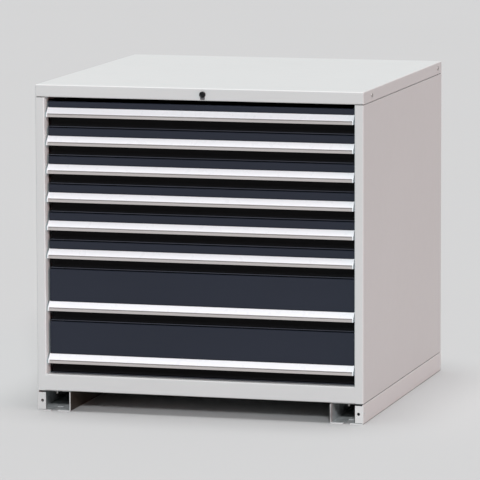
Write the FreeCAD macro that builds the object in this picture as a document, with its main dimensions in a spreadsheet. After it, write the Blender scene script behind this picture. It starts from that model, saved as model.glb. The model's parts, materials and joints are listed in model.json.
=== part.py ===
import FreeCAD, Part
import math
import os

# Modular drawer cabinet: a folded sheet-steel casing on two channel skids,
# six shallow drawers above two deep ones, each on a pair of telescopic
# slides, with one key lock in the middle of the lid's front flange.
#
# Frame: millimetres, +Z up, the drawers open towards -Y, +X to the right.
# Origin: on the floor, under the middle of the cabinet.

SIZES = (
    # casing
    ("casing_width", 717), ("casing_depth", 725), ("total_height", 700),
    ("skid_height", 44), ("lid_flange", 26), ("bottom_rail_height", 35),
    ("seam", 1.5), ("sheet", 1.5), ("back_sheet", 1.2), ("bend", 1.0),
    ("post_width", 19.5), ("post_return", 30),
    ("rear_flange", 22), ("back_rise", 16), ("lid_lip", 14), ("strip_height", 38), ("strip_gap", 3),
    ("strip_end", 7), ("top_rail_depth", 25),
    # skids
    ("skid_width", 73), ("skid_sheet", 2), ("skid_front_flange", 18), ("skid_notch", 14),
    ("skid_hole_inset", 10.5), ("skid_hole_radius", 3.3), ("anchor_slot_width", 15),
    ("anchor_slot_length", 50), ("anchor_hole_radius", 4.5), ("side_hole_radius", 3),
    ("side_hole_inset", 12), ("skid_top_flange", 24), ("skid_bolt_inset", 24), ("skid_bolt_end", 6),
    ("bolt_head_flat_radius", 4), ("bolt_head_height", 3.5),
    # drawers
    ("shallow_count", 6), ("deep_count", 2), ("shallow_pitch", 60.5), ("deep_pitch", 113),
    ("front_gap", 3), ("front_setback", 18), ("front_end_gap", 3.7), ("front_sheet", 1.2),
    ("front_flange", 12), ("front_top_gap", 0.9), ("first_top_gap", 5.2),
    ("recess_depth", 34), ("recess_top", 22), ("handle_bottom", 23.3),
    ("handle_height", 19.3),
    ("handle_wall", 1.8), ("handle_setback", 3.5), ("nose_height", 4.6), ("end_cap", 2),
    ("strip_thickness", 0.8), ("tray_half_width", 325.5), ("tray_length", 640),
    ("tray_sheet", 1.2), ("tray_rim", 8), ("tray_headroom", 8),
    # slides
    ("slide_height", 36), ("slide_centre", 24), ("slide_sheet", 1.5), ("slide_depth", 12),
    ("slide_gap", 0.5), ("slide_length", 640), ("slide_start", 49), ("runner_length", 620),
    ("slide_backing", 3), ("stand_off_length", 24), ("stand_off_height", 20),
    # lock
    ("lock_offset", 11), ("lock_head_radius", 6.6), ("lock_barrel_radius", 6),
    ("lock_core_radius", 4.5), ("lock_head_proud", 4.5), ("lock_drop", 13),
    ("lock_tab_width", 9.8), ("lock_tab_sheet", 1.4), ("lock_tab_drop", 4.6),
    ("lock_barrel_length", 20), ("nut_flat_radius", 8.5), ("nut_height", 4), ("core_inset", 0.6),
    ("core_length", 27.5), ("keyway_width", 1.4), ("keyway_height", 5.4), ("keyway_depth", 13),
    ("cam_depth", 23.6), ("cam_hub_radius", 5), ("cam_sheet", 2), ("cam_arm_length", 8.5),
    # locking frame
    ("bar_sheet", 3), ("bar_width", 10.5), ("bar_inset", 17), ("bar_foot", 14), ("bar_rise", 7),
    ("crossbar_start", 12), ("crossbar_height", 8), ("crossbar_depth", 29.5), ("crossbar_drop", 1),
    ("finger_length", 13.5), ("finger_width", 4.5), ("finger_level", 53), ("finger_inset", 30),
    ("finger_back", 4),
    ("lug_length", 10.3), ("lug_height", 6), ("lug_level", 46), ("lug_depth", 42.5),
)

document = FreeCAD.newDocument("DrawerCabinet")
sheet = document.addObject("Spreadsheet::Sheet", "Sizes")
for row, (alias, number) in enumerate(SIZES, start=1):
    sheet.set("A%d" % row, alias)
    sheet.set("B%d" % row, str(number))
    sheet.setAlias("B%d" % row, alias)
document.recompute()

parts = {}


def size(alias):
    """The number in the sheet's cell of that name."""
    return float(sheet.get(alias))


def bind(target, **expressions):
    """Ties properties to sheet formulas; a double underscore stands for a dot."""
    for name, formula in expressions.items():
        target.setExpression(name.replace("__", "."), formula)


def place(target, x="0", y="0", z="0"):
    """Moves an object by sheet formulas."""
    bind(target, Placement__Base__x=x, Placement__Base__y=y, Placement__Base__z=z)


def keep(node, target):
    """Labels a finished sub-part with its node name."""
    target.Label = node
    parts[node] = target
    return target


def box(name, length, width, height, x, y, z):
    """A block with its lowest corner at x, y, z, all given as sheet formulas."""
    block = document.addObject("Part::Box", name)
    bind(block, Length=length, Width=width, Height=height)
    place(block, x, y, z)
    return block


TURNS = {
    "+x": FreeCAD.Rotation(FreeCAD.Vector(0, 1, 0), 90),
    "-x": FreeCAD.Rotation(FreeCAD.Vector(0, 1, 0), -90),
    "+y": FreeCAD.Rotation(FreeCAD.Vector(1, 0, 0), -90),
    "-y": FreeCAD.Rotation(FreeCAD.Vector(1, 0, 0), 90),
    "+z": FreeCAD.Rotation(),
    "-z": FreeCAD.Rotation(FreeCAD.Vector(1, 0, 0), 180),
}


def cylinder(name, radius, height, direction, x, y, z):
    """A round bar that starts at x, y, z and runs in one of the six directions."""
    bar = document.addObject("Part::Cylinder", name)
    bind(bar, Radius=radius, Height=height)
    bar.Placement = FreeCAD.Placement(FreeCAD.Vector(), TURNS[direction])
    place(bar, x, y, z)
    return bar


def hexagon(name, flat_radius, height, direction, x, y, z):
    """A hexagonal bar that starts at x, y, z and runs in one of the six directions."""
    bar = document.addObject("Part::Prism", name)
    bar.Polygon = 6
    bind(bar, Circumradius="%s / cos(30)" % flat_radius, Height=height)
    bar.Placement = FreeCAD.Placement(FreeCAD.Vector(), TURNS[direction])
    place(bar, x, y, z)
    return bar


def fuse(name, shapes):
    joined = document.addObject("Part::MultiFuse", name)
    joined.Shapes = shapes
    joined.Refine = True
    return joined


def cut(name, base, tool):
    remainder = document.addObject("Part::Cut", name)
    remainder.Base = base
    remainder.Tool = tool
    return remainder


def group(name, shapes):
    """Several separate solids in one sub-part."""
    compound = document.addObject("Part::Compound", name)
    compound.Links = shapes
    return compound


def rounded_loop(corners):
    """Lines and arcs round a closed outline of (x, y, corner radius)."""
    points = [FreeCAD.Vector(x, y, 0) for x, y, _ in corners]
    entries, exits, middles = [], [], []
    for i, (_, _, radius) in enumerate(corners):
        corner = points[i]
        before = (points[i - 1] - corner).normalize()
        after = (points[(i + 1) % len(points)] - corner).normalize()
        if radius == 0:
            entries.append(corner)
            exits.append(corner)
            middles.append(None)
            continue
        half = before.getAngle(after) / 2
        reach = radius / math.tan(half)
        bisector = (before + after).normalize()
        entries.append(corner + before * reach)
        exits.append(corner + after * reach)
        middles.append(corner + bisector * (radius / math.sin(half) - radius))
    geometry = []
    for i, middle in enumerate(middles):
        if middle is not None:
            geometry.append(Part.Arc(entries[i], middle, exits[i]))
        following = entries[(i + 1) % len(points)]
        if exits[i].distanceToPoint(following) > 1e-6:
            geometry.append(Part.LineSegment(exits[i], following))
    return geometry


def folded_loop(points, thickness, bend):
    """Outline of a bent sheet whose face follows points; its thickness lies to the left,
    or to the right if thickness is negative."""
    face = [FreeCAD.Vector(x, y, 0) for x, y in points]
    along = [(b - a).normalize() for a, b in zip(face, face[1:])]
    left = [FreeCAD.Vector(-d.y, d.x, 0) for d in along]
    offsets = [left[0]]
    radii = [(0, 0)]
    for i in range(1, len(left)):
        total = left[i - 1] + left[i]
        offsets.append(total * (1 / (1 + left[i - 1].dot(left[i]))))
        turn = along[i - 1].cross(along[i]).z
        towards_thickness = turn * thickness > 0
        wide = bend + abs(thickness)
        radii.append((wide, bend) if towards_thickness else (bend, wide))
    offsets.append(left[-1])
    radii.append((0, 0))
    outline = [(p.x, p.y, r[0]) for p, r in zip(face, radii)]
    inner = [p + o * thickness for p, o in zip(face, offsets)]
    outline += [(p.x, p.y, r[1]) for p, r in reversed(list(zip(inner, radii)))]
    return rounded_loop(outline)


def extrusion(name, plane, geometry, length, x="0", y="0", z="0"):
    """A PartDesign body: one outline on an origin plane, padded towards +X, +Y or +Z."""
    body = document.addObject("PartDesign::Body", name)
    support = next(f for f in body.Origin.OriginFeatures if f.Role == plane)
    sketch = body.newObject("Sketcher::SketchObject", name + "_outline")
    sketch.AttachmentSupport = (support, [""])
    sketch.MapMode = "FlatFace"
    sketch.addGeometry(geometry, False)
    pad = body.newObject("PartDesign::Pad", name + "_pad")
    pad.Profile = sketch
    pad.Reversed = plane == "XZ_Plane"
    bind(pad, Length=length)
    place(body, x, y, z)
    return body


HALF_WIDTH = "Sizes.casing_width / 2"
HALF_DEPTH = "Sizes.casing_depth / 2"
FRONT = "(-Sizes.casing_depth / 2)"
LID_BOTTOM = "(Sizes.total_height - Sizes.lid_flange)"
LOCK_HEIGHT = "(Sizes.total_height - Sizes.lock_drop)"
BETWEEN_STRIPS = "(Sizes.casing_width - 4 * Sizes.sheet - 2 * Sizes.strip_gap)"
SIDES = (("left", -1), ("right", 1))
LID_SCREW_DEPTHS = (0.10, 0.945)
BACK_SCREW_LEVELS = (0.06, 0.35, 0.65, 0.94)
BACK_SCREW_SHANK = 6.0
LID_SCREW_SHANK = 9.0
SCREW_SHANK = 2.0
SCREW_HOLE = 2.2
SCREW_HEAD = 4.5
SCREW_PROUD = 2.4
BACK_SCREW_PROUD = 3.0
BOLT_SHANK = 2.5
BOLT_HOLE = 2.75
WASHER_RADIUS = 9.0
INSIDE_BEND = 1.0
SLIDE_BEND = 0.5
STAND_OFF_STARTS = (0.06, 0.88)
ANCHOR_HOLE_DEPTHS = (0.25, 0.75)
WELD_OVERLAP = 0.2
POST_BEND = "(Sizes.bend + Sizes.sheet)"


def side_name(base, side_word):
    return "%s_%s" % (base, side_word)


def lid_screw_places():
    """Distances along Y of the lid's side screws."""
    return ["(%s + %g * Sizes.casing_depth)" % (FRONT, share) for share in LID_SCREW_DEPTHS]


def make_side_panel(word, side):
    """Outer wall, front post with its return, and rear flange, folded from one sheet, with an
    inner strip along the top, set in from the wall, that the lid is screwed to. The post's
    return is cut away at its foot, where the bottom rail is welded flush with the post."""
    half_width, half_depth = size("casing_width") / 2, size("casing_depth") / 2
    post_inner = half_width - size("post_width")
    plan = [
        (side * (half_width - size("rear_flange")), half_depth),
        (side * half_width, half_depth),
        (side * half_width, -half_depth),
        (side * post_inner, -half_depth),
        (side * post_inner, -half_depth + size("post_return")),
    ]
    loop = folded_loop(plan, -side * size("sheet"), size("bend"))
    wall = extrusion("wall_" + word, "XY_Plane", loop,
                     "%s - Sizes.seam - Sizes.skid_height" % LID_BOTTOM, z="Sizes.skid_height")
    strip_inner = "(%s - 2 * Sizes.sheet - Sizes.strip_gap)" % HALF_WIDTH
    strip_low = "Sizes.total_height - Sizes.sheet - Sizes.strip_height"
    strip_y = "%s + Sizes.strip_end" % FRONT
    strip_length = "Sizes.casing_depth - 2 * Sizes.strip_end"
    foot_width = "(Sizes.sheet + Sizes.strip_gap + %g)" % WELD_OVERLAP
    strip = box("strip_" + word, "Sizes.sheet", strip_length, "Sizes.strip_height",
                strip_inner if side > 0 else "-%s - Sizes.sheet" % strip_inner, strip_y, strip_low)
    foot = box("strip_foot_" + word, foot_width, strip_length, "Sizes.sheet",
               strip_inner if side > 0 else "-%s - %s" % (strip_inner, foot_width), strip_y, strip_low)
    joined = fuse("side_" + word, [wall, strip, foot])
    holes = [cylinder("strip_hole_%s_%d" % (word, i), str(SCREW_HOLE), "30",
                      "-x" if side > 0 else "+x", "%d * (%s + 5)" % (side, HALF_WIDTH), y, LOCK_HEIGHT)
             for i, y in enumerate(lid_screw_places())]
    holes += [cylinder("rear_hole_%s_%d" % (word, i), str(SCREW_HOLE), "10", "-y",
                       "%d * (%s - Sizes.rear_flange / 2)" % (side, HALF_WIDTH),
                       "%s + 5" % HALF_DEPTH, z) for i, z in enumerate(back_screw_levels())]
    post_edge = "(%s - Sizes.post_width)" % HALF_WIDTH
    holes.append(box("post_foot_" + word, POST_BEND, "Sizes.post_return + 2",
                     "Sizes.bottom_rail_height - %s + 1" % POST_BEND,
                     post_edge if side > 0 else "-%s - %s" % (post_edge, POST_BEND),
                     "%s - 1" % FRONT, "Sizes.skid_height - 1"))
    keep(side_name("side_panel", word), cut("side_cut_" + word, joined, fuse("side_holes_" + word, holes)))


def back_screw_levels():
    """Heights of the screws down each rear flange."""
    return ["(Sizes.skid_height + %g * (%s - Sizes.skid_height))" % (share, LID_BOTTOM)
            for share in BACK_SCREW_LEVELS]


def make_top_cover():
    """Lid folded down on all four sides, with a lip under its rounded front flange."""
    outer = box("lid_outer", "Sizes.casing_width", "Sizes.casing_depth", "Sizes.lid_flange",
                "-(%s)" % HALF_WIDTH, FRONT, LID_BOTTOM)
    document.recompute()
    rounded = document.addObject("Part::Fillet", "lid_rounded")
    rounded.Base = outer
    radius = size("bend") + size("sheet")
    chosen = [number for number, edge in enumerate(outer.Shape.Edges, start=1)
              if edge.BoundBox.ZMax > size("total_height") - 1e-6
              or edge.BoundBox.YMax < -size("casing_depth") / 2 + 1e-6]
    rounded.Edges = [(number, radius, radius) for number in chosen]
    hollow = box("lid_hollow", "Sizes.casing_width - 2 * Sizes.sheet",
                 "Sizes.casing_depth - 2 * Sizes.sheet", "Sizes.lid_flange - Sizes.sheet",
                 "-(%s) + Sizes.sheet" % HALF_WIDTH, "%s + Sizes.sheet" % FRONT, LID_BOTTOM)
    shell = cut("lid_shell", rounded, hollow)
    lip = box("lid_lip_plate", BETWEEN_STRIPS, "Sizes.lid_lip", "Sizes.sheet",
              "-%s / 2" % BETWEEN_STRIPS, "%s + Sizes.sheet" % FRONT, LID_BOTTOM)
    lipped = fuse("lid_lipped", [shell, lip])
    holes = [cylinder("lid_lock_hole", "Sizes.lock_barrel_radius + 0.1", "12", "+y",
                      "Sizes.lock_offset", "%s - 5" % FRONT, LOCK_HEIGHT)]
    for word, side in SIDES:
        for i, y in enumerate(lid_screw_places()):
            holes.append(cylinder("lid_hole_%s_%d" % (word, i), str(SCREW_HOLE), "10",
                                  "-x" if side > 0 else "+x",
                                  "%d * (%s + 5)" % (side, HALF_WIDTH), y, LOCK_HEIGHT))
    keep("top_cover", cut("lid_cut", lipped, fuse("lid_holes", holes)))


def make_back_panel():
    """Flat plate behind the drawers, screwed to the rear flanges."""
    inset = "(Sizes.sheet + Sizes.bend)"
    plate = box("back_plate", "Sizes.casing_width - 2 * %s" % inset, "Sizes.back_sheet",
                "Sizes.total_height - Sizes.skid_height - Sizes.lid_flange + Sizes.back_rise",
                "-(%s) + %s" % (HALF_WIDTH, inset),
                "%s - Sizes.sheet - Sizes.back_sheet" % HALF_DEPTH, "Sizes.skid_height")
    holes = [cylinder("back_hole_%s_%d" % (word, i), str(SCREW_HOLE), "10", "-y",
                      "%d * (%s - Sizes.rear_flange / 2)" % (side, HALF_WIDTH),
                      "%s + 3" % HALF_DEPTH, z)
             for word, side in SIDES for i, z in enumerate(back_screw_levels())]
    keep("back_panel", cut("back_cut", plate, fuse("back_holes", holes)))


def make_bottom_panel():
    """Floor plate between the bottom rail and the back, resting on the skids."""
    plate = box("floor_plate", "Sizes.casing_width - 2 * Sizes.sheet",
                "Sizes.casing_depth - Sizes.post_return - Sizes.sheet - Sizes.back_sheet", "Sizes.sheet",
                "-(%s) + Sizes.sheet" % HALF_WIDTH, "%s + Sizes.post_return" % FRONT,
                "Sizes.skid_height")
    holes = [cylinder("floor_hole_" + word, str(BOLT_HOLE), "10", "+z",
                      "%d * (%s - Sizes.skid_width / 2)" % (side, HALF_WIDTH),
                      "%s - Sizes.skid_bolt_inset" % HALF_DEPTH, "Sizes.skid_height - 4")
             for word, side in SIDES]
    keep("bottom_panel", cut("floor_cut", plate, fuse("floor_holes", holes)))


def make_bottom_rail():
    """Channel across the front under the last drawer, open to the back. Its ends reach past the
    posts' bent edges up to where the rail's own upper bend starts."""
    low, high = 0.0, size("bottom_rail_height")
    front, depth = -size("casing_depth") / 2, size("post_return")
    section = [(front + depth, low), (front, low), (front, high), (front + depth, high)]
    loop = folded_loop(section, -size("sheet"), size("bend"))
    reach = "(%s - Sizes.post_width + %s)" % (HALF_WIDTH, POST_BEND)
    rail = extrusion("bottom_rail", "YZ_Plane", loop, "2 * %s" % reach, x="-%s" % reach,
                     z="Sizes.skid_height")
    holes = [cylinder("rail_hole_" + word, str(BOLT_HOLE), "10", "+z",
                      "%d * (%s - Sizes.skid_width / 2)" % (side, HALF_WIDTH),
                      "%s + Sizes.skid_bolt_inset" % FRONT, "Sizes.skid_height - 4")
             for word, side in SIDES]
    holes += [box("rail_end_" + word, POST_BEND, "Sizes.post_return + 2", "10",
                  "%s - %s" % (reach, POST_BEND) if side > 0 else "-%s" % reach, "%s - 1" % FRONT,
                  "Sizes.skid_height + Sizes.bottom_rail_height - %s" % POST_BEND)
              for word, side in SIDES]
    keep("front_bottom_rail", cut("bottom_rail_cut", rail, fuse("rail_holes", holes)))


def make_top_rail():
    """Channel behind the lid's front flange that carries the lock, open to the back."""
    low, high = size("sheet"), size("lid_flange") - size("sheet")
    front = -size("casing_depth") / 2 + size("sheet")
    depth = size("top_rail_depth")
    section = [(front + depth, low), (front, low), (front, high), (front + depth, high)]
    loop = folded_loop(section, -size("sheet"), size("bend"))
    rail = extrusion("top_rail", "YZ_Plane", loop, BETWEEN_STRIPS, x="-%s / 2" % BETWEEN_STRIPS,
                     z=LID_BOTTOM)
    hole = cylinder("top_rail_hole", "Sizes.lock_barrel_radius + 0.1", "20", "+y",
                    "Sizes.lock_offset", "%s - 5" % FRONT, LOCK_HEIGHT)
    keep("front_top_rail", cut("top_rail_cut", rail, hole))


def make_skid(word, side):
    """Channel foot under one side, open at both ends, where its top flanges are notched back,
    with a drilled flange at each end and slots and holes in its base for floor anchors."""
    outer, inner = size("casing_width") / 2, size("casing_width") / 2 - size("skid_width")
    high = size("skid_height") - size("seam")
    flange_end = inner + size("skid_top_flange")
    section = [(side * flange_end, high), (side * inner, high), (side * inner, 0),
               (side * outer, 0), (side * outer, high),
               (side * (flange_end + size("seam")), high)]
    loop = folded_loop(section, side * size("skid_sheet"), size("bend"))
    channel = extrusion("skid_channel_" + word, "XZ_Plane", loop, "Sizes.casing_depth", y=FRONT)
    flange_x = "-(%s)" % HALF_WIDTH if side < 0 else "%s - Sizes.skid_front_flange" % HALF_WIDTH
    shapes = [channel]
    for end, y in (("front", FRONT), ("rear", "%s - Sizes.skid_sheet" % HALF_DEPTH)):
        shapes.append(box("skid_flange_%s_%s" % (end, word), "Sizes.skid_front_flange",
                          "Sizes.skid_sheet",
                          "Sizes.skid_height - Sizes.seam - 2 * (Sizes.bend + Sizes.skid_sheet)",
                          flange_x, y, "Sizes.bend + Sizes.skid_sheet"))
    joined = fuse("skid_joined_" + word, shapes)
    centre = "%d * (%s - Sizes.skid_width / 2)" % (side, HALF_WIDTH)
    holes = [cylinder("skid_flange_hole_" + word, "Sizes.skid_hole_radius",
                      "Sizes.casing_depth + 20", "+y",
                      "%d * (%s - Sizes.skid_hole_inset)" % (side, HALF_WIDTH),
                      "%s - 10" % FRONT, "Sizes.skid_height / 2"),
             cylinder("skid_side_hole_" + word, "Sizes.side_hole_radius", "12",
                      "-x" if side > 0 else "+x", "%d * (%s + 6)" % (side, HALF_WIDTH),
                      "%s + Sizes.side_hole_inset" % FRONT, "Sizes.skid_height / 2")]
    for end, y, bolt_y in (("front", FRONT, "%s + Sizes.skid_bolt_inset" % FRONT),
                           ("rear", "%s - Sizes.anchor_slot_length" % HALF_DEPTH,
                            "%s - Sizes.skid_bolt_inset" % HALF_DEPTH)):
        holes.append(box("anchor_slot_%s_%s" % (end, word), "Sizes.anchor_slot_width",
                         "Sizes.anchor_slot_length", "10",
                         "%s - Sizes.anchor_slot_width / 2" % centre, y, "-5"))
        holes.append(cylinder("skid_bolt_hole_%s_%s" % (end, word), str(BOLT_HOLE), "12", "+z",
                              centre, bolt_y, "Sizes.skid_height - 8"))
        notch_y = "%s - 1" % FRONT if end == "front" else "%s - Sizes.skid_notch" % HALF_DEPTH
        notch_width = "(Sizes.skid_width - 2 * Sizes.skid_sheet)"
        holes.append(box("notch_%s_%s" % (end, word), notch_width, "Sizes.skid_notch + 1", "8",
                         "%s - %s / 2" % (centre, notch_width), notch_y,
                         "Sizes.skid_height - Sizes.seam - Sizes.bend - Sizes.skid_sheet"))
    for i, share in enumerate(ANCHOR_HOLE_DEPTHS):
        holes.append(cylinder("anchor_hole_%s_%d" % (word, i), "Sizes.anchor_hole_radius", "10", "+z",
                              centre, "%s + %g * Sizes.casing_depth" % (FRONT, share), "-5"))
    keep(side_name("skid", word), cut("skid_cut_" + word, joined, fuse("skid_holes_" + word, holes)))


def make_skid_bolts():
    """Hexagon-head bolts that hold the casing down on the skids, screwed in from above, each
    through a washer that keeps the casing one seam's width off the skid."""
    bolts = []
    for word, side in SIDES:
        centre = "%d * (%s - Sizes.skid_width / 2)" % (side, HALF_WIDTH)
        for end, y in (("front", "%s + Sizes.skid_bolt_inset" % FRONT),
                       ("rear", "%s - Sizes.skid_bolt_inset" % HALF_DEPTH)):
            tag = "%s_%s" % (end, word)
            head = hexagon("bolt_head_" + tag, "Sizes.bolt_head_flat_radius", "Sizes.bolt_head_height",
                           "+z", centre, y, "Sizes.skid_height + Sizes.sheet")
            below = "(Sizes.seam + Sizes.skid_sheet + Sizes.skid_bolt_end)"
            shank = cylinder("bolt_shank_" + tag, str(BOLT_SHANK), "%s + Sizes.sheet" % below, "+z",
                             centre, y, "Sizes.skid_height - %s" % below)
            bolts.append(fuse("bolt_" + tag, [head, shank]))
            disc = cylinder("washer_disc_" + tag, str(WASHER_RADIUS), "Sizes.seam", "+z", centre, y,
                            "Sizes.skid_height - Sizes.seam")
            eye = cylinder("washer_eye_" + tag, str(BOLT_HOLE), "10", "+z", centre, y,
                           "Sizes.skid_height - 5")
            bolts.append(cut("washer_" + tag, disc, eye))
    keep("skid_bolts", group("skid_bolt_group", bolts))


def make_lid_screws():
    """Pan-head screws through the lid's side flanges."""
    screws = []
    for word, side in SIDES:
        inward = "-x" if side > 0 else "+x"
        for i, y in enumerate(lid_screw_places()):
            tag = "%s_%d" % (word, i)
            head = cylinder("lid_screw_head_" + tag, str(SCREW_HEAD), str(SCREW_PROUD), inward,
                            "%d * (%s + %g)" % (side, HALF_WIDTH, SCREW_PROUD), y, LOCK_HEIGHT)
            shank = cylinder("lid_screw_shank_" + tag, str(SCREW_SHANK), str(LID_SCREW_SHANK), inward,
                             "%d * (%s)" % (side, HALF_WIDTH), y, LOCK_HEIGHT)
            screws.append(fuse("lid_screw_" + tag, [head, shank]))
    keep("lid_screws", group("lid_screw_group", screws))


def make_back_screws():
    """Pan-head screws through the rear flanges into the back panel."""
    screws = []
    for word, side in SIDES:
        x = "%d * (%s - Sizes.rear_flange / 2)" % (side, HALF_WIDTH)
        for i, z in enumerate(back_screw_levels()):
            tag = "%s_%d" % (word, i)
            head = cylinder("back_screw_head_" + tag, str(SCREW_HEAD), str(BACK_SCREW_PROUD), "-y",
                            x, "%s + %g" % (HALF_DEPTH, BACK_SCREW_PROUD), z)
            shank = cylinder("back_screw_shank_" + tag, str(SCREW_SHANK), str(BACK_SCREW_SHANK), "-y",
                             x, HALF_DEPTH, z)
            screws.append(fuse("back_screw_" + tag, [head, shank]))
    keep("back_screws", group("back_screw_group", screws))


def drawer_floor(number):
    """Height of drawer NUMBER's lowest point, counted from the top drawer, as a formula."""
    shallow = int(size("shallow_count"))
    deep = int(size("deep_count"))
    below_deep = min(deep, shallow + deep - number)
    below_shallow = max(0, shallow - number)
    return ("(Sizes.skid_height + Sizes.bottom_rail_height + %d * Sizes.deep_pitch"
            " + %d * Sizes.shallow_pitch)" % (below_deep, below_shallow))


def drawer_pitch(number):
    return "shallow_pitch" if number <= size("shallow_count") else "deep_pitch"


def slide_levels():
    """Height of each drawer's slide centre, as formulas."""
    count = int(size("shallow_count") + size("deep_count"))
    return {n: "(%s + Sizes.slide_centre)" % drawer_floor(n) for n in range(1, count + 1)}


def slide_channel(name, side, nest, length, z):
    """A channel open to the middle; nest 0 is fixed to the casing, 1 is the carriage."""
    wall = size("slide_sheet")
    step = wall + size("slide_gap")
    outer = size("tray_half_width") + size("slide_depth") + size("slide_backing") - nest * step
    high = size("slide_height") / 2 - nest * step
    inner = size("tray_half_width") + wall
    section = [(side * inner, high), (side * outer, high), (side * outer, -high), (side * inner, -high)]
    loop = folded_loop(section, -side * wall, SLIDE_BEND)
    return extrusion(name, "XZ_Plane", loop, length, y="%s + Sizes.slide_start" % FRONT, z=z)


def make_fixed_slides(word, side):
    """The casing's slide channels down one side, each on two stand-off blocks."""
    rails = []
    web = "(Sizes.tray_half_width + Sizes.slide_depth + Sizes.slide_backing)"
    for number, z in slide_levels().items():
        tag = "%s_%d" % (word, number)
        channel = slide_channel("fixed_channel_" + tag, side, 0, "Sizes.slide_length", z)
        gap = "(%s - Sizes.sheet - %s)" % (HALF_WIDTH, web)
        x = web if side > 0 else "-(%s + %s)" % (web, gap)
        blocks = [box("stand_off_%d_%s" % (i, tag), gap, "Sizes.stand_off_length",
                      "Sizes.stand_off_height", x,
                      "%s + Sizes.slide_start + %g * Sizes.slide_length" % (FRONT, share),
                      "%s - Sizes.stand_off_height / 2" % z)
                  for i, share in enumerate(STAND_OFF_STARTS)]
        rails.append(fuse("fixed_slide_" + tag, [channel] + blocks))
    keep(side_name("fixed_slides", word), group("fixed_slide_group_" + word, rails))


def make_carriages(number):
    """The telescopic middle members of one drawer's two slides."""
    z = slide_levels()[number]
    pair = [slide_channel("carriage_%d_%s" % (number, word), side, 1, "Sizes.slide_length", z)
            for word, side in SIDES]
    keep("drawer_%d_carriages" % number, group("carriage_pair_%d" % number, pair))


def front_width():
    """Width of a drawer's front, as a formula."""
    return "(Sizes.casing_width - 2 * Sizes.post_width - 2 * Sizes.front_end_gap)"


def make_tray(number):
    """Folded steel drawer box with rolled rims and, welded to it, a full-width front wall that
    is the back of the finger recess, with a lip below, two slide runners and the lock's lug."""
    half, wall, rim = size("tray_half_width"), size("tray_sheet"), size("tray_rim")
    base, top = size("front_gap"), size(drawer_pitch(number)) - size("tray_headroom")
    section = [(-half + rim, top), (-half, top), (-half, base), (half, base), (half, top), (half - rim, top)]
    floor = drawer_floor(number)
    start = "%s + Sizes.recess_depth" % FRONT
    trough = extrusion("trough_%d" % number, "XZ_Plane", folded_loop(section, wall, INSIDE_BEND),
                       "Sizes.tray_length - Sizes.tray_sheet", y="%s + Sizes.tray_sheet" % start, z=floor)
    height = ("Sizes.%s - Sizes.tray_headroom - Sizes.front_gap - 2 * Sizes.tray_sheet"
              % drawer_pitch(number))
    back = box("tray_back_%d" % number, "2 * (Sizes.tray_half_width - 2)", "Sizes.tray_sheet", height,
               "-Sizes.tray_half_width + 2", "%s + Sizes.tray_length - Sizes.tray_sheet" % start,
               "%s + Sizes.front_gap + Sizes.tray_sheet" % floor)
    deep = -size("casing_depth") / 2 + size("recess_depth")
    lip = -size("casing_depth") / 2 + size("front_setback") + 1
    low = size("front_gap") / 2
    nose = extrusion("recess_wall_%d" % number, "YZ_Plane",
                     folded_loop([(deep + wall, top), (deep + wall, low), (lip, low)], -wall, INSIDE_BEND),
                     front_width(), x="-%s / 2" % front_width(), z=floor)
    runners = []
    run = size("slide_sheet") + size("slide_gap")
    outer = half + size("slide_depth") + size("slide_backing") - 2 * run
    high = size("slide_height") / 2 - 2 * run
    for word, side in SIDES:
        shape = [(side * half, high), (side * outer, high), (side * outer, -high), (side * half, -high)]
        runners.append(extrusion("runner_%d_%s" % (number, word), "XZ_Plane",
                                 folded_loop(shape, -side * size("slide_sheet"), SLIDE_BEND),
                                 "Sizes.runner_length", y="%s + Sizes.slide_start" % FRONT,
                                 z=slide_levels()[number]))
    lug = box("lug_%d" % number, "Sizes.lug_length", "Sizes.bar_sheet", "Sizes.lug_height",
              "Sizes.tray_half_width", "%s + Sizes.lug_depth" % FRONT,
              "%s + Sizes.lug_level" % floor)
    trough_and_back = fuse("tray_box_%d" % number, [trough, back])
    keep("drawer_%d_tray" % number,
         group("tray_%d" % number, [trough_and_back, nose] + runners + [lug]))


def make_front(number):
    """Folded front: top flange, face, and a return above the finger recess. The first drawer's
    keeps clear of the lid's lip."""
    face = -size("casing_depth") / 2 + size("front_setback")
    deep = -size("casing_depth") / 2 + size("recess_depth") - size("tray_sheet")
    wall = size("front_sheet")
    high = size(drawer_pitch(number)) - size("first_top_gap" if number == 1 else "front_top_gap")
    section = [(face + size("front_flange"), high), (face, high), (face, size("recess_top")),
               (deep, size("recess_top"))]
    keep("drawer_%d_front" % number,
         extrusion("front_%d" % number, "YZ_Plane", folded_loop(section, wall, INSIDE_BEND), front_width(),
                   x="-%s / 2" % front_width(), z=drawer_floor(number)))


def handle_points():
    """Corner points of the handle's section: back face, foot of the nose and its top edge."""
    face = -size("casing_depth") / 2 + size("front_setback")
    nose = -size("casing_depth") / 2 + size("handle_setback")
    low = size("handle_bottom")
    return face, nose, low, low + size("nose_height"), low + size("handle_height")


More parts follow.
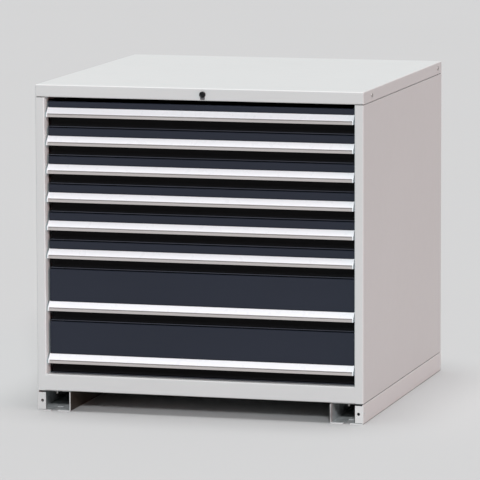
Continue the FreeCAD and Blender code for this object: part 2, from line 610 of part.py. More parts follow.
def make_handle(number):
    """Aluminium extrusion: a back plate, a sloping label face, a groove and a nose to pull on."""
    face, nose, low, shoulder, high = handle_points()
    wall = size("handle_wall")
    section = [
        (face, low, 0), (face, high, 0.4), (face - wall, high, 0.6), (nose + 3.0, shoulder + 2.2, 0.2),
        (nose + 3.4, shoulder - 0.4, 0.2), (nose + 1.4, shoulder - 0.6, 0.2),
        (nose + 1.4, shoulder + 0.6, 0.3), (nose, shoulder + 0.6, 0.5), (nose, low, 0.6),
        (nose + 3.2, low, 0.5), (nose + 3.2, low + 1.4, 0.3), (nose + wall, low + 1.4, 0.4),
        (nose + wall, shoulder - 2.0, 0.8), (nose + 4.8, shoulder - 1.6, 0.8),
        (face - wall, high - 3.0, 0.8), (face - wall, low, 0.3),
    ]
    width = "(%s - 2 * Sizes.end_cap)" % front_width()
    keep("drawer_%d_handle" % number,
         extrusion("handle_%d" % number, "YZ_Plane", rounded_loop(section), width,
                   x="-%s / 2" % width, z=drawer_floor(number)))


def make_label_strip(number):
    """Plastic label strip on the handle's sloping face, with a cap closing each handle end."""
    face, nose, low, shoulder, high = handle_points()
    wall, thickness = size("handle_wall"), size("strip_thickness")
    lower = FreeCAD.Vector(nose + 3.0, shoulder + 2.2, 0)
    upper = FreeCAD.Vector(face - wall, high, 0)
    slope = (upper - lower).normalize()
    normal = FreeCAD.Vector(-slope.y, slope.x, 0)
    foot, head = lower + slope * 0.4, upper - slope * 0.8
    strip = [foot, head, head + normal * thickness, foot + normal * thickness]
    full = front_width()
    strip_body = extrusion("strip_body_%d" % number, "YZ_Plane",
                           rounded_loop([(p.x, p.y, 0) for p in strip]), full, x="-%s / 2" % full,
                           z=drawer_floor(number))
    cap = [(face, low, 0), (face, high, 0.6), (face - wall, high + 0.6, 0.6),
           (nose - 0.4, shoulder + 1.8, 0.6), (nose - 0.4, low, 0.6)]
    caps = [extrusion("cap_%d_%s" % (number, word), "YZ_Plane", rounded_loop(cap), "Sizes.end_cap",
                      x="%d * (%s - Sizes.end_cap) / 2 - Sizes.end_cap / 2" % (side, full),
                      z=drawer_floor(number)) for word, side in SIDES]
    keep("drawer_%d_label_strip" % number, fuse("label_%d" % number, [strip_body] + caps))


def make_lock():
    """Key lock: a housing clamped through the lid by a nut, its core and the core's cam. A small
    tab hangs from the housing's rim, flat on the lid's flange."""
    head_front = "%s - Sizes.lock_head_proud" % FRONT
    head = cylinder("lock_head", "Sizes.lock_head_radius", "Sizes.lock_head_proud", "+y",
                    "Sizes.lock_offset", head_front, LOCK_HEIGHT)
    barrel = cylinder("lock_barrel", "Sizes.lock_barrel_radius", "Sizes.lock_barrel_length", "+y",
                      "Sizes.lock_offset", FRONT, LOCK_HEIGHT)
    bore = cylinder("lock_bore", "Sizes.lock_core_radius + 0.05", "40", "+y",
                    "Sizes.lock_offset", "%s - 8" % FRONT, LOCK_HEIGHT)
    tab = box("lock_tab", "Sizes.lock_tab_width", "Sizes.lock_tab_sheet",
              "Sizes.lock_head_radius / 2 + Sizes.lock_tab_drop",
              "Sizes.lock_offset - Sizes.lock_tab_width / 2", "%s - Sizes.lock_tab_sheet" % FRONT,
              "%s - Sizes.lock_head_radius - Sizes.lock_tab_drop" % LOCK_HEIGHT)
    keep("lock_housing", cut("lock_housing_cut", fuse("lock_body", [head, barrel, tab]), bore))
    nut_blank = hexagon("nut_blank", "Sizes.nut_flat_radius", "Sizes.nut_height", "+y", "Sizes.lock_offset",
                        "%s + 2 * Sizes.sheet" % FRONT, LOCK_HEIGHT)
    nut_bore = cylinder("nut_bore", "Sizes.lock_barrel_radius", "12", "+y",
                        "Sizes.lock_offset", "%s - 1" % FRONT, LOCK_HEIGHT)
    keep("lock_nut", cut("lock_nut_cut", nut_blank, nut_bore))
    core = cylinder("core_bar", "Sizes.lock_core_radius", "Sizes.core_length", "+y",
                    "Sizes.lock_offset", "%s + Sizes.core_inset" % head_front, LOCK_HEIGHT)
    keyway = box("keyway", "Sizes.keyway_width", "Sizes.keyway_depth", "Sizes.keyway_height",
                 "Sizes.lock_offset - Sizes.keyway_width / 2", head_front,
                 "%s - Sizes.keyway_height / 2" % LOCK_HEIGHT)
    keep("lock_cylinder", cut("core_cut", core, keyway))
    cam_y = "%s + Sizes.cam_depth" % FRONT
    hub = cylinder("cam_hub", "Sizes.cam_hub_radius", "Sizes.cam_sheet", "+y", "Sizes.lock_offset",
                   cam_y, LOCK_HEIGHT)
    arm = box("cam_arm", "Sizes.cam_hub_radius", "Sizes.cam_sheet", "Sizes.cam_arm_length",
              "Sizes.lock_offset - Sizes.cam_hub_radius / 2", cam_y, LOCK_HEIGHT)
    keep("lock_cam", fuse("cam", [hub, arm]))


def make_locking_frame():
    """Cross bar under the lid and the upright bar whose fingers hold the drawers' lugs."""
    keep("locking_crossbar",
         box("crossbar", "%s - Sizes.bar_inset + Sizes.bar_sheet - Sizes.lock_offset"
             " - Sizes.crossbar_start" % HALF_WIDTH, "Sizes.bar_sheet", "Sizes.crossbar_height",
             "Sizes.lock_offset + Sizes.crossbar_start", "%s + Sizes.crossbar_depth" % FRONT,
             "%s - Sizes.crossbar_drop" % LOCK_HEIGHT))
    low = "(Sizes.skid_height + Sizes.bottom_rail_height + Sizes.bar_foot)"
    depth = "%s + Sizes.crossbar_depth + Sizes.bar_sheet" % FRONT
    upright = box("upright", "Sizes.bar_sheet", "Sizes.bar_width",
                  "%s + Sizes.bar_rise - %s" % (LOCK_HEIGHT, low),
                  "%s - Sizes.bar_inset" % HALF_WIDTH, depth, low)
    fingers = [box("finger_%d" % number, "Sizes.finger_length", "Sizes.finger_width", "Sizes.bar_sheet",
                   "%s - Sizes.finger_inset" % HALF_WIDTH, "%s + Sizes.finger_back" % depth,
                   "%s + Sizes.finger_level" % drawer_floor(number))
               for number in slide_levels()]
    keep("locking_bar", fuse("locking_bar_fused", [upright] + fingers))


def build_all():
    for word, side in SIDES:
        make_side_panel(word, side)
        make_skid(word, side)
        make_fixed_slides(word, side)
    make_top_cover()
    make_back_panel()
    make_bottom_panel()
    make_bottom_rail()
    make_top_rail()
    make_skid_bolts()
    make_lid_screws()
    make_back_screws()
    make_lock()
    make_locking_frame()
    for number in slide_levels():
        make_tray(number)
        make_front(number)
        make_handle(number)
        make_label_strip(number)
        make_carriages(number)
    document.recompute()


def check_all():
    for item in document.Objects:
        if "Invalid" in item.State or "Error" in item.State:
            raise RuntimeError("%s failed: %s" % (item.Name, item.State))
    for node, target in parts.items():
        if target.Shape.isNull() or not target.Shape.isValid():
            raise RuntimeError("%s has no valid shape" % node)
        if target.Shape.Volume <= 0:
            raise RuntimeError("%s has no volume" % node)


build_all()
check_all()
os.makedirs("parts", exist_ok=True)
for node, target in parts.items():
    target.Shape.exportStep("parts/%s.step" % node)
    bounds = target.Shape.BoundBox
    print("%-26s solids %2d  x %7.1f %7.1f  y %7.1f %7.1f  z %6.1f %6.1f  volume %9.0f" % (
        node, len(target.Shape.Solids), bounds.XMin, bounds.XMax, bounds.YMin, bounds.YMax,
        bounds.ZMin, bounds.ZMax, target.Shape.Volume))
print("%d sub-parts" % len(parts))
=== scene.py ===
import json
import math

import bmesh
import bpy
from mathutils import Euler, Matrix, Vector


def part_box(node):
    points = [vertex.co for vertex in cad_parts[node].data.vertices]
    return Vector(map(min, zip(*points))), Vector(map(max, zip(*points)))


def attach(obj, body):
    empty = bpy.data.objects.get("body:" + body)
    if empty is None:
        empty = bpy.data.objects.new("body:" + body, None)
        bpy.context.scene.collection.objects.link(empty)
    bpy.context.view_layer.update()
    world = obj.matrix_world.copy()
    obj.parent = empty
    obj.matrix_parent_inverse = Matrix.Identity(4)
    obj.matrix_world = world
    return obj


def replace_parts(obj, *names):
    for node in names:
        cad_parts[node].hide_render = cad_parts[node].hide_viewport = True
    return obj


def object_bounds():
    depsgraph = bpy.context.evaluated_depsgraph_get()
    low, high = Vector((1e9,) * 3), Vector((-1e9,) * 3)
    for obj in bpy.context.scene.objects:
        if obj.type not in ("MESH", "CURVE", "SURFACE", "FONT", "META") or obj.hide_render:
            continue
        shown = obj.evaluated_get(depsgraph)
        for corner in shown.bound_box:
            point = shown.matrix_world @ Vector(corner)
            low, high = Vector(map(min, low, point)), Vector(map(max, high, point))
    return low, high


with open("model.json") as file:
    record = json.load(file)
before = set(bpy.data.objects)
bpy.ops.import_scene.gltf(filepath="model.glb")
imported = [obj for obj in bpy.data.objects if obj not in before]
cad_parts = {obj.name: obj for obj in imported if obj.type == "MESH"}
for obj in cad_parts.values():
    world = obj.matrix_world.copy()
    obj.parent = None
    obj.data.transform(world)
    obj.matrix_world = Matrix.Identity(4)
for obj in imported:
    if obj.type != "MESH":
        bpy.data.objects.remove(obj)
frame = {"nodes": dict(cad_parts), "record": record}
cad_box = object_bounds()

MM = 0.001
MIX_COLOR_A, MIX_COLOR_B, MIX_COLOR_RESULT = 6, 7, 2


# ---------------------------------------------------------------- node helpers

class Recipe:
    """A new material with its Principled shader, and short ways to add and join nodes."""

    def __init__(self, name, color, roughness, metallic=0.0):
        self.material = bpy.data.materials.new(name)
        self.material.use_nodes = True
        self.tree = self.material.node_tree
        self.shader = self.tree.nodes["Principled BSDF"]
        self.shader.inputs["Base Color"].default_value = (*color, 1.0)
        self.shader.inputs["Roughness"].default_value = roughness
        self.shader.inputs["Metallic"].default_value = metallic
        coordinates = self.tree.nodes.new("ShaderNodeTexCoord")
        self.place = coordinates.outputs["Object"]

    def link(self, output, target):
        self.tree.links.new(output, target)

    def stretched(self, scale):
        """Object coordinates, stretched: a small number along an axis makes long features."""
        mapping = self.tree.nodes.new("ShaderNodeMapping")
        mapping.inputs["Scale"].default_value = scale
        self.link(self.place, mapping.inputs["Vector"])
        return mapping.outputs["Vector"]

    def noise(self, scale, detail=2.0, roughness=0.5, place=None):
        texture = self.tree.nodes.new("ShaderNodeTexNoise")
        texture.inputs["Scale"].default_value = scale
        texture.inputs["Detail"].default_value = detail
        texture.inputs["Roughness"].default_value = roughness
        self.link(place or self.place, texture.inputs["Vector"])
        return texture.outputs["Fac"]

    def ramp(self, factor, stops):
        """Colours blended along a factor; stops are (position, colour)."""
        ramp = self.tree.nodes.new("ShaderNodeValToRGB")
        elements = ramp.color_ramp.elements
        while len(elements) < len(stops):
            elements.new(0.5)
        for element, (position, color) in zip(elements, stops):
            element.position = position
            element.color = (*color, 1.0)
        self.link(factor, ramp.inputs["Fac"])
        return ramp.outputs["Color"]

    def between(self, factor, low, high, start=0.0, end=1.0):
        """A factor mapped to the range from low to high."""
        remap = self.tree.nodes.new("ShaderNodeMapRange")
        remap.inputs["From Min"].default_value = start
        remap.inputs["From Max"].default_value = end
        remap.inputs["To Min"].default_value = low
        remap.inputs["To Max"].default_value = high
        self.link(factor, remap.inputs["Value"])
        return remap.outputs["Result"]

    def split(self):
        """The object coordinates one by one, as X, Y and Z."""
        parts = self.tree.nodes.new("ShaderNodeSeparateXYZ")
        self.link(self.place, parts.inputs["Vector"])
        return parts.outputs

    def math(self, operation, *values):
        """A sum, product or the like of outputs and plain numbers."""
        node = self.tree.nodes.new("ShaderNodeMath")
        node.operation = operation
        for socket, value in zip(node.inputs, values):
            if isinstance(value, float):
                socket.default_value = value
            else:
                self.link(value, socket)
        return node.outputs["Value"]

    def past(self, factor, start, end):
        """0 before start and 1 past end of a factor."""
        return self.between(factor, 0.0, 1.0, start, end)

    def over(self, base, patch, mask):
        """One colour laid over another where the mask is 1."""
        mix = self.tree.nodes.new("ShaderNodeMix")
        mix.data_type = "RGBA"
        self.link(mask, mix.inputs["Factor"])
        self.link(base, mix.inputs[MIX_COLOR_A])
        self.link(patch, mix.inputs[MIX_COLOR_B])
        return mix.outputs[MIX_COLOR_RESULT]

    def bump(self, height, depth, below=None):
        """Relief of the given depth in metres, laid over another relief if there is one."""
        relief = self.tree.nodes.new("ShaderNodeBump")
        relief.inputs["Strength"].default_value = 1.0
        relief.inputs["Distance"].default_value = depth
        self.link(height, relief.inputs["Height"])
        if below is not None:
            self.link(below, relief.inputs["Normal"])
        return relief.outputs["Normal"]

    def color(self, output):
        self.link(output, self.shader.inputs["Base Color"])

    def rough(self, output):
        self.link(output, self.shader.inputs["Roughness"])

    def normal(self, output):
        self.link(output, self.shader.inputs["Normal"])


def scaled(color, share):
    return tuple(channel * share for channel in color)


def varied(recipe, factor, color, low, high, start=0.3, end=0.7):
    """A colour that goes from low to high times itself between two values of a factor."""
    return recipe.ramp(factor, [(start, scaled(color, low)), (end, scaled(color, high))])


# ------------------------------------------------------------------- materials

LIGHT_GREY = (0.597, 0.611, 0.610)
# painted light: lighter greys for the posts' returns
RETURN_PAINTED_LIGHT = (0.80, 0.89, 0.89), (0.82, 0.91, 0.91)
ANTHRACITE = (0.018, 0.0225, 0.036)
LIP_GREY = (0.060, 0.066, 0.084)
# near black: the trays' guessed paint, and painted shade in the recesses under the handles
NEAR_BLACK = (0.006, 0.006, 0.007)
# inside the skids: guessed bare steel, darker than the paint as painted shade
INSIDE_STEEL_AND_SHADE = (0.46, 0.485, 0.49)
# painted shade, dark brown, on the outer face of the skids' inner walls
WALL_SHADE_BROWN = (0.030, 0.025, 0.018)

# Paint texture: features per metre, and relief depths in metres.
CLOUD_SCALE, SHEEN_SCALE = 2.6, 45.0
PEEL_SCALE, PEEL_DEPTH = 620.0, 0.00006
FINE_SCALE, FINE_DEPTH = 2400.0, 0.00002

# Where one finish ends and the next begins, in metres, as (start, end) of the change.
LIP_END = (-0.3420, -0.3400)            # y: behind the lip below a drawer's front
GROOVE_FRONT = (-0.3568, -0.3565)       # y: behind the handle's outer faces
RETURN_OUTSIDE = (0.3396, 0.3402)       # distance in x: past the posts' returns
RETURN_REAR = (-0.3320, -0.3310)        # y: behind the posts' returns

# Limits on a skid, as distances from the cabinet's middle planes.
SKID_INNER_WALL = 0.2862                # x: outer face of the inner wall
SKID_CUT_EDGE = 0.2900                  # x: past the inner wall's cut ends
SKID_SIDE = 0.3575                      # x: outer side
SKID_END = 0.3618                       # y: end flanges' outer face
SKID_BLEND = 0.0002                     # half the width of each change


def orange_peel(recipe):
    """Powder coat's relief, coarse and fine."""
    coarse = recipe.bump(recipe.noise(PEEL_SCALE), PEEL_DEPTH)
    return recipe.bump(recipe.noise(FINE_SCALE, detail=1.0), FINE_DEPTH, below=coarse)


def powder_coat(name, color, roughness, mottle=0.03, gloss=0.5):
    """Satin powder coat: orange-peel relief, a faint cloudiness and uneven gloss."""
    recipe = Recipe(name, color, roughness)
    cloud = recipe.noise(CLOUD_SCALE, detail=3.0)
    recipe.color(varied(recipe, cloud, color, 1 - mottle, 1 + mottle))
    recipe.normal(orange_peel(recipe))
    sheen = recipe.noise(SHEEN_SCALE, detail=3.0)
    recipe.rough(recipe.between(sheen, roughness - 0.05, roughness + 0.06))
    recipe.shader.inputs["Specular IOR Level"].default_value = gloss
    return recipe.material


def tray_black_and_recess_shade():
    """Near-black tray: a guessed black paint that is also painted shade in the recess under each
    handle, and dark grey on the lip at the very front.
    """
    recipe = Recipe("tray_paint", NEAR_BLACK, 0.55)
    cloud = recipe.noise(3.0, detail=3.0)
    # painted shade: the near-black that fills the recess under each handle
    black = varied(recipe, cloud, NEAR_BLACK, 0.95, 1.05)
    lip = varied(recipe, cloud, LIP_GREY, 0.97, 1.03)
    recipe.color(recipe.over(lip, black, recipe.past(recipe.split()["Y"], *LIP_END)))
    recipe.normal(recipe.bump(recipe.noise(PEEL_SCALE), PEEL_DEPTH))
    recipe.rough(recipe.between(recipe.noise(SHEEN_SCALE, detail=3.0), 0.5, 0.6))
    recipe.shader.inputs["Specular IOR Level"].default_value = 0.12
    return recipe.material


def panel_paint_and_return_light():
    """The casing's light grey, with painted light on the posts' returns: a lighter grey there
    stands in for light that the lamps leave out.
    """
    recipe = Recipe("panel_paint_and_return_light", LIGHT_GREY, 0.46)
    cloud = recipe.noise(CLOUD_SCALE, detail=3.0)
    paint = varied(recipe, cloud, LIGHT_GREY, 0.988, 1.012)
    # painted light: the posts' returns get the lighter greys
    light = recipe.ramp(cloud, list(zip((0.3, 0.7), RETURN_PAINTED_LIGHT)))
    place = recipe.split()
    outside = recipe.past(recipe.math("ABSOLUTE", place["X"]), *RETURN_OUTSIDE)
    behind = recipe.past(place["Y"], *RETURN_REAR)
    recipe.color(recipe.over(light, paint, recipe.math("MAXIMUM", outside, behind)))
    recipe.normal(orange_peel(recipe))
    recipe.rough(recipe.between(recipe.noise(SHEEN_SCALE, detail=3.0), 0.41, 0.52))
    return recipe.material


def skid_paint_and_shade(side, share, dark_cut_edge):
    """Light grey paint outside, share times the casing's brightness. Inside, a darker bluish grey
    is guessed bare steel and painted shade, and the inner wall's outer face is painted shade in
    dark brown. With the cut-edge flag set, the inner wall's cut ends take these darker colours too."""
    recipe = Recipe("skid_paint_and_shade_" + side, LIGHT_GREY, 0.48)
    cloud = recipe.noise(CLOUD_SCALE, detail=3.0)
    paint = varied(recipe, cloud, LIGHT_GREY, share - 0.015, share + 0.015)
    stain = recipe.noise(38.0, detail=5.0, roughness=0.65)
    # painted shade: darker grey inside the channel and dark brown on the inner wall's outer face
    bare_steel_and_shade = varied(recipe, stain, INSIDE_STEEL_AND_SHADE, 0.6, 1.35, end=0.72)
    brown = varied(recipe, stain, WALL_SHADE_BROWN, 0.8, 1.2, end=0.72)
    place = recipe.split()

    def beyond(axis, limit):
        """1 where the object's distance from its middle plane is more than a limit."""
        distance = recipe.math("ABSOLUTE", place[axis])
        return recipe.past(distance, limit - SKID_BLEND, limit + SKID_BLEND)

    past_wall = beyond("X", SKID_INNER_WALL)
    past_edge = beyond("X", SKID_CUT_EDGE) if dark_cut_edge else 1.0
    ends = recipe.math("MULTIPLY", beyond("Y", SKID_END), past_edge)
    outside = recipe.math("MAXIMUM", beyond("X", SKID_SIDE), ends)
    recipe.color(recipe.over(recipe.over(brown, bare_steel_and_shade, past_wall), paint, outside))
    relief = recipe.bump(recipe.noise(PEEL_SCALE), PEEL_DEPTH)
    recipe.normal(recipe.bump(stain, 0.00008, below=relief))
    recipe.rough(recipe.between(stain, 0.42, 0.56))
    recipe.shader.inputs["Specular IOR Level"].default_value = 0.4
    return recipe.material


def drawn_aluminium():
    """Satin anodised extrusion with fine die lines along its length, and painted shade in the
    groove behind its outer faces.
    """
    color = (0.53, 0.51, 0.50)
    recipe = Recipe("drawn_aluminium", color, 0.42, metallic=0.3)
    lines = recipe.noise(1.0, place=recipe.stretched((3.0, 2600.0, 2600.0)))
    metal = varied(recipe, lines, color, 0.94, 1.05, 0.25, 0.75)
    # painted shade: darker metal in the groove behind the handle's outer faces
    groove = varied(recipe, lines, color, 0.68, 0.76, 0.25, 0.75)
    recipe.color(recipe.over(metal, groove, recipe.past(recipe.split()["Y"], *GROOVE_FRONT)))
    recipe.rough(recipe.between(lines, 0.36, 0.48))
    recipe.normal(recipe.bump(lines, 0.00002))
    return recipe.material


def label_plastic():
    """White label strip under a clear cover, a little wavy along its length."""
    color = (0.90, 0.92, 0.955)
    recipe = Recipe("label_plastic", color, 0.28)
    fibre = recipe.noise(900.0, detail=3.0)
    recipe.color(varied(recipe, fibre, color, 0.975, 1.0, 0.2, 0.8))
    wave = recipe.noise(1.0, place=recipe.stretched((16.0, 60.0, 60.0)))
    recipe.normal(recipe.bump(wave, 0.0003))
    recipe.rough(recipe.between(recipe.noise(70.0), 0.22, 0.36))
    recipe.shader.inputs["Coat Weight"].default_value = 0.35
    recipe.shader.inputs["Coat Roughness"].default_value = 0.12
    return recipe.material


def zinc(name, color, roughness, spangle=260.0):
    """Zinc-plated steel: small crystalline patches of uneven brightness."""
    recipe = Recipe(name, color, roughness, metallic=1.0)
    cells = recipe.tree.nodes.new("ShaderNodeTexVoronoi")
    cells.inputs["Scale"].default_value = spangle
    recipe.link(recipe.place, cells.inputs["Vector"])
    patch = cells.outputs["Distance"]
    recipe.color(varied(recipe, patch, color, 0.86, 1.1, start=0.0))
    recipe.rough(recipe.between(patch, roughness - 0.08, roughness + 0.12, end=0.7))
    recipe.normal(recipe.bump(recipe.noise(1500.0), 0.00003))
    return recipe.material


def black_lacquer():
    """Black enamel with a slightly uneven gloss."""
    recipe = Recipe("black_lacquer", (0.004, 0.004, 0.0045), 0.3)
    recipe.rough(recipe.between(recipe.noise(400.0), 0.22, 0.36))
    recipe.normal(recipe.bump(recipe.noise(1800.0), 0.00002))
    recipe.shader.inputs["Specular IOR Level"].default_value = 0.3
    return recipe.material


def floor_paint():
    """Plain pale studio floor with a trace of unevenness."""
    color = (0.474, 0.477, 0.479)
    recipe = Recipe("studio_floor", color, 0.9)
    recipe.color(varied(recipe, recipe.noise(0.8), color, 0.997, 1.003))
    recipe.shader.inputs["Specular IOR Level"].default_value = 0.1
    return recipe.material


FINISHES = {
    "casing_paint": powder_coat("casing_paint", LIGHT_GREY, 0.46, mottle=0.012),
    "front_paint": powder_coat("front_paint", ANTHRACITE, 0.42, mottle=0.05, gloss=0.25),
    "tray_paint": tray_black_and_recess_shade(),
    "handle_aluminium": drawn_aluminium(),
    "label_plastic": label_plastic(),
    "slide_steel": zinc("slide_steel", (0.55, 0.56, 0.58), 0.34),
    "zinc_plate": zinc("zinc_plate", (0.40, 0.395, 0.385), 0.3, spangle=700.0),
    "lock_black": black_lacquer(),
    "lock_steel": zinc("lock_steel", (0.03, 0.03, 0.032), 0.34, spangle=900.0),
}


def dress_nodes():
    """Every CAD node gets the finish of its material slot. The skids and side panels then get their
    own versions of the casing's paint, with painted light and shade."""
    for entry in frame["record"]["subparts"]:
        mesh = frame["nodes"][entry["node"]].data
        mesh.materials.clear()
        mesh.materials.append(FINISHES[entry["material_slot"]])
    panels = panel_paint_and_return_light()
    # painted light and shade: the right skid's paint is lighter and the left's darker than the
    # casing's, and the right one's inner cut edge is dark
    for side, share, dark_cut_edge in (("left", 0.95, False), ("right", 1.1, True)):
        skid_paint = skid_paint_and_shade(side, share, dark_cut_edge)
        frame["nodes"]["skid_" + side].data.materials[0] = skid_paint
        frame["nodes"]["side_panel_" + side].data.materials[0] = panels


# ---------------------------------------------------------------------- pieces

SHARP_ANGLE = math.radians(35.0)
SCREW_SHANK_RADIUS = 2.0 * MM
LID_SCREW_PROUD, BACK_SCREW_PROUD = 2.4 * MM, 3.0 * MM
ARC_STEPS = 6                           # straight lengths in a rounded edge's quarter turn


def finish_piece(name, mesh, slot):
    """Turns a bmesh into a piece that rides on the casing and takes a slot's finish."""
    bmesh.ops.recalc_face_normals(mesh, faces=mesh.faces)
    data = bpy.data.meshes.new(name)
    mesh.to_mesh(data)
    mesh.free()
    data.materials.append(FINISHES[slot])
    data.shade_smooth()
    data.set_sharp_from_angle(angle=SHARP_ANGLE)
    piece = bpy.data.objects.new(name, data)
    bpy.context.scene.collection.objects.link(piece)
    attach(piece, "casing")
    return piece


def close_ring(mesh, first, second):
    """Quads between two rings of vertices with the same count."""
    count = len(first)
    for i in range(count):
        mesh.faces.new((first[i], first[(i + 1) % count], second[(i + 1) % count], second[i]))


def revolve(mesh, profile, place, segments=48, closed=True):
    """Turns (radius, height) points about local Z; place moves the result."""
    turns = [math.tau * k / segments for k in range(segments)]
    rings = []
    for radius, height in profile:
        points = [Vector((radius * math.cos(turn), radius * math.sin(turn), height))
                  for turn in turns]
        rings.append([mesh.verts.new(place @ point) for point in points])
    for first, second in zip(rings, rings[1:]):
        close_ring(mesh, first, second)
    if closed:
        close_ring(mesh, rings[-1], rings[0])
    return rings


def axis_place(origin, outward):
    """Local Z along a direction, at a point."""
    turn = Vector(outward).to_track_quat("Z", "Y").to_matrix()
    return Matrix.Translation(origin) @ turn.to_4x4()


def clamped(value):
    return min(1.0, max(0.0, value))


def pan_screw(mesh, origin, outward, radius, proud, shank_length):
    """Domed head with a cross recess, on a shank that runs inwards from the seat."""
    place = axis_place(origin, outward)
    around, steps = 48, 16
    arm, reach, deep = 0.11 * radius, 0.56 * radius, 0.62 * proud
    side_slope, end_slope = 0.5 * arm, 0.18 * radius

    def surface(x, y):
        """Height of the head above its seat: a dome, less the cross recess."""
        share = math.hypot(x, y) / radius
        dome = proud * (1 - 0.34 * share ** 2 - 0.36 * share ** 8)
        across, along = sorted((abs(x), abs(y)))
        recess = clamped((arm + side_slope - across) / side_slope)
        recess *= clamped((reach - along) / end_slope)
        return dome - deep * recess

    centre = mesh.verts.new(place @ Vector((0, 0, surface(0, 0))))
    rings = []
    for step in range(1, steps + 1):
        ring_radius = radius * step / steps
        ring = []
        for k in range(around):
            turn = math.tau * k / around
            x, y = ring_radius * math.cos(turn), ring_radius * math.sin(turn)
            ring.append(mesh.verts.new(place @ Vector((x, y, surface(x, y)))))
        rings.append(ring)
    for k in range(around):
        mesh.faces.new((centre, rings[0][k], rings[0][(k + 1) % around]))
    for first, second in zip(rings, rings[1:]):
        close_ring(mesh, first, second)
    shank, tip = SCREW_SHANK_RADIUS, 0.2 * SCREW_SHANK_RADIUS
    outline = [(radius, 0.0), (shank, 0.0), (shank, shank - shank_length), (tip, -shank_length)]
    lower = revolve(mesh, outline, place, around, closed=False)
    close_ring(mesh, rings[-1], lower[0])
    mesh.faces.new(lower[-1])


def solid_boxes(node, count):
    """Lowest and highest corners of each of a node's separate solids."""
    data = frame["nodes"][node].data
    links = {vertex.index: set() for vertex in data.vertices}
    for edge in data.edges:
        a, b = edge.vertices
        links[a].add(b)
        links[b].add(a)
    places = {}
    for vertex in data.vertices:
        places.setdefault(tuple(round(c, 5) for c in vertex.co), []).append(vertex.index)
    for twins in places.values():
        for twin in twins[1:]:
            links[twins[0]].add(twin)
            links[twin].add(twins[0])
    matrix = frame["nodes"][node].matrix_world
    seen, boxes = set(), []
    for start in links:
        if start in seen:
            continue
        island, waiting = [], [start]
        seen.add(start)
        while waiting:
            index = waiting.pop()
            island.append(matrix @ data.vertices[index].co)
            for other in links[index] - seen:
                seen.add(other)
                waiting.append(other)
        low = Vector(min(p[i] for p in island) for i in range(3))
        high = Vector(max(p[i] for p in island) for i in range(3))
        boxes.append((low, high))
    if len(boxes) != count:
        raise RuntimeError("%s has %d separate solids, not %d" % (node, len(boxes), count))
    return boxes


def make_lid_screws():
    """Pan-head screws in the lid's side flanges, in place of their plain stand-ins."""
    mesh = bmesh.new()
    for low, high in solid_boxes("lid_screws", 4):
        side = 1 if low.x > 0 else -1
        outer = high.x if side > 0 else low.x
        seat = outer - side * LID_SCREW_PROUD
        origin = Vector((seat, (low.y + high.y) / 2, (low.z + high.z) / 2))
        pan_screw(mesh, origin, (side, 0, 0), (high.z - low.z) / 2, LID_SCREW_PROUD,
                  high.x - low.x - LID_SCREW_PROUD)
    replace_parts(finish_piece("lid_pan_screws", mesh, "zinc_plate"), "lid_screws")


def make_back_screws():
    """Pan-head screws down the rear flanges, in place of their plain stand-ins."""
    mesh = bmesh.new()
    for low, high in solid_boxes("back_screws", 8):
        seat = high.y - BACK_SCREW_PROUD
        origin = Vector(((low.x + high.x) / 2, seat, (low.z + high.z) / 2))
        pan_screw(mesh, origin, (0, 1, 0), (high.z - low.z) / 2, BACK_SCREW_PROUD,
                  high.y - low.y - BACK_SCREW_PROUD)
    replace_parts(finish_piece("back_pan_screws", mesh, "zinc_plate"), "back_screws")


def make_lock_bezel():
    """Lock housing with a rounded rim and a shallow dish round the core."""
    low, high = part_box("lock_housing")
    core_low, core_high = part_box("lock_cylinder")
    centre = Vector(((low[0] + high[0]) / 2, high[1], (core_low[2] + core_high[2]) / 2))
    length = high[1] - low[1]
    rim = (high[0] - low[0]) / 2
    play = 0.05 * MM
    bore = (core_high[0] - core_low[0]) / 2 + play
    barrel, chamfer, head, edge = 6.0 * MM, 0.6 * MM, 4.5 * MM, 1.2 * MM
    seat = length - head
    profile = [(bore, 0.0), (barrel - chamfer, 0.0), (barrel, chamfer), (barrel, seat), (rim, seat)]
    for k in range(ARC_STEPS + 1):
        turn = math.pi / 2 * k / ARC_STEPS
        profile.append((rim - edge + edge * math.cos(turn), length - edge + edge * math.sin(turn)))
    for outward, down in ((0.9, 0.15), (0.35, 0.45), (0.0, 0.6)):
        profile.append((bore + outward * MM, length - down * MM))
    mesh = bmesh.new()
    revolve(mesh, profile, axis_place(centre, (0, -1, 0)), 64)
    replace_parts(finish_piece("lock_bezel", mesh, "lock_black"), "lock_housing")


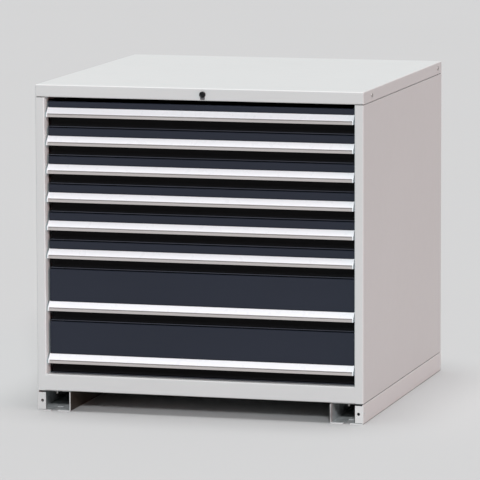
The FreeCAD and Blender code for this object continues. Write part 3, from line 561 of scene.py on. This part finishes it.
def make_lock_tab():
    """Small grey tab with a rounded foot that hangs below the lock's rim, flat on the lid's flange;
    it stands in for the shadow below the lock (painted shadow).
    """
    low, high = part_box("lock_housing")
    core_low, core_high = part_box("lock_cylinder")
    middle, axis = (low[0] + high[0]) / 2, (core_low[2] + core_high[2]) / 2
    rim = (high[0] - low[0]) / 2
    back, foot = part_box("top_cover")[0][1], low[2]
    sheet, half, corner, bevel = 1.4 * MM, 4.9 * MM, 1.8 * MM, 0.3 * MM
    front, head = back - sheet, axis - 0.5 * rim
    outline = [(-half, head)]
    for centre, start in ((corner - half, 180), (half - corner, 270)):
        for k in range(ARC_STEPS + 1):
            turn = math.radians(start + 90 / ARC_STEPS * k)
            outline.append((centre + corner * math.cos(turn),
                            foot + corner + corner * math.sin(turn)))
    outline.append((half, head))
    mesh = bmesh.new()
    rings = []
    for y, inset in ((back, 0.0), (front + bevel, 0.0), (front, bevel)):
        across, upright = 1 - inset / half, 1 - inset / (axis - foot)
        rings.append([mesh.verts.new((middle + x * across, y, axis + (z - axis) * upright))
                      for x, z in outline])
    for first, second in zip(rings, rings[1:]):
        close_ring(mesh, first, second)
    mesh.faces.new(rings[0])
    mesh.faces.new(rings[-1])
    tab = finish_piece("lock_tab", mesh, "lock_steel")
    # painted shadow: a dark grey for the shadow below the lock
    tab.data.materials[0] = zinc("lock_tab_shadow_grey", (0.17, 0.168, 0.178), 0.36, spangle=900.0)
    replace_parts(tab, "lock_housing")


# --------------------------------------------------------------- camera, light

AZIMUTH = math.radians(15.56)
ELEVATION = math.radians(7.65)
ROLL = math.radians(-0.18)
DISTANCE = 9.474
LENS = 324.8
SENSOR = 36.0
AIM_OFFSET = (-0.0093, 0.0, -0.0183)
FLOOR_SIZE = 80.0


def aim_point():
    """The point of the cabinet's middle plane that the camera looks at."""
    low, high = cad_box
    return (Vector(low) + Vector(high)) / 2 + Vector(AIM_OFFSET)


def make_camera():
    """Long-lens camera at the front right, a little above the lid."""
    data = bpy.data.cameras.new("camera")
    data.lens = LENS
    data.sensor_width = SENSOR
    data.clip_end = 100.0
    camera = bpy.data.objects.new("camera", data)
    bpy.context.scene.collection.objects.link(camera)
    level = Euler((math.pi / 2 - ELEVATION, 0.0, AZIMUTH)).to_matrix()
    turn = level @ Matrix.Rotation(ROLL, 3, "Z")
    position = aim_point() + turn.col[2] * DISTANCE
    camera.matrix_world = Matrix.Translation(position) @ turn.to_4x4()
    bpy.context.scene.camera = camera


def sun(name, towards, share, spread, color=(1.0, 1.0, 1.0)):
    """Parallel light from a direction. A white surface square to it gains share in brightness;
    spread is the angle that softens its shadows."""
    data = bpy.data.lights.new(name, "SUN")
    data.energy = share * math.pi
    data.angle = math.radians(spread)
    data.color = color
    light = bpy.data.objects.new(name, data)
    bpy.context.scene.collection.objects.link(light)
    light.rotation_euler = Vector(towards).to_track_quat("Z", "Y").to_euler()


def make_studio():
    """Even white surroundings, three soft suns and a plain pale floor."""
    world = bpy.data.worlds.new("studio")
    bpy.context.scene.world = world
    world.use_nodes = True
    background = world.node_tree.nodes["Background"]
    background.inputs["Color"].default_value = (1.0, 1.0, 1.0, 1.0)
    background.inputs["Strength"].default_value = 0.3
    sun("key", (0.25, -0.84, 0.48), 0.55, 8.0, (0.985, 1.0, 1.02))
    sun("top", (0.0, 0.0, 1.0), 0.84, 30.0)
    sun("side", (0.95, -0.30, 0.08), 0.20, 20.0, (1.0, 0.34, 0.29))

    bpy.ops.mesh.primitive_plane_add(size=FLOOR_SIZE, location=(0.0, 0.0, 0.0))
    floor = bpy.context.object
    floor.name = "studio_floor"
    floor.data.materials.append(floor_paint())


dress_nodes()
make_lid_screws()
make_back_screws()
make_lock_bezel()
make_lock_tab()
make_camera()
make_studio()
bpy.context.scene.view_settings.view_transform = "Standard"
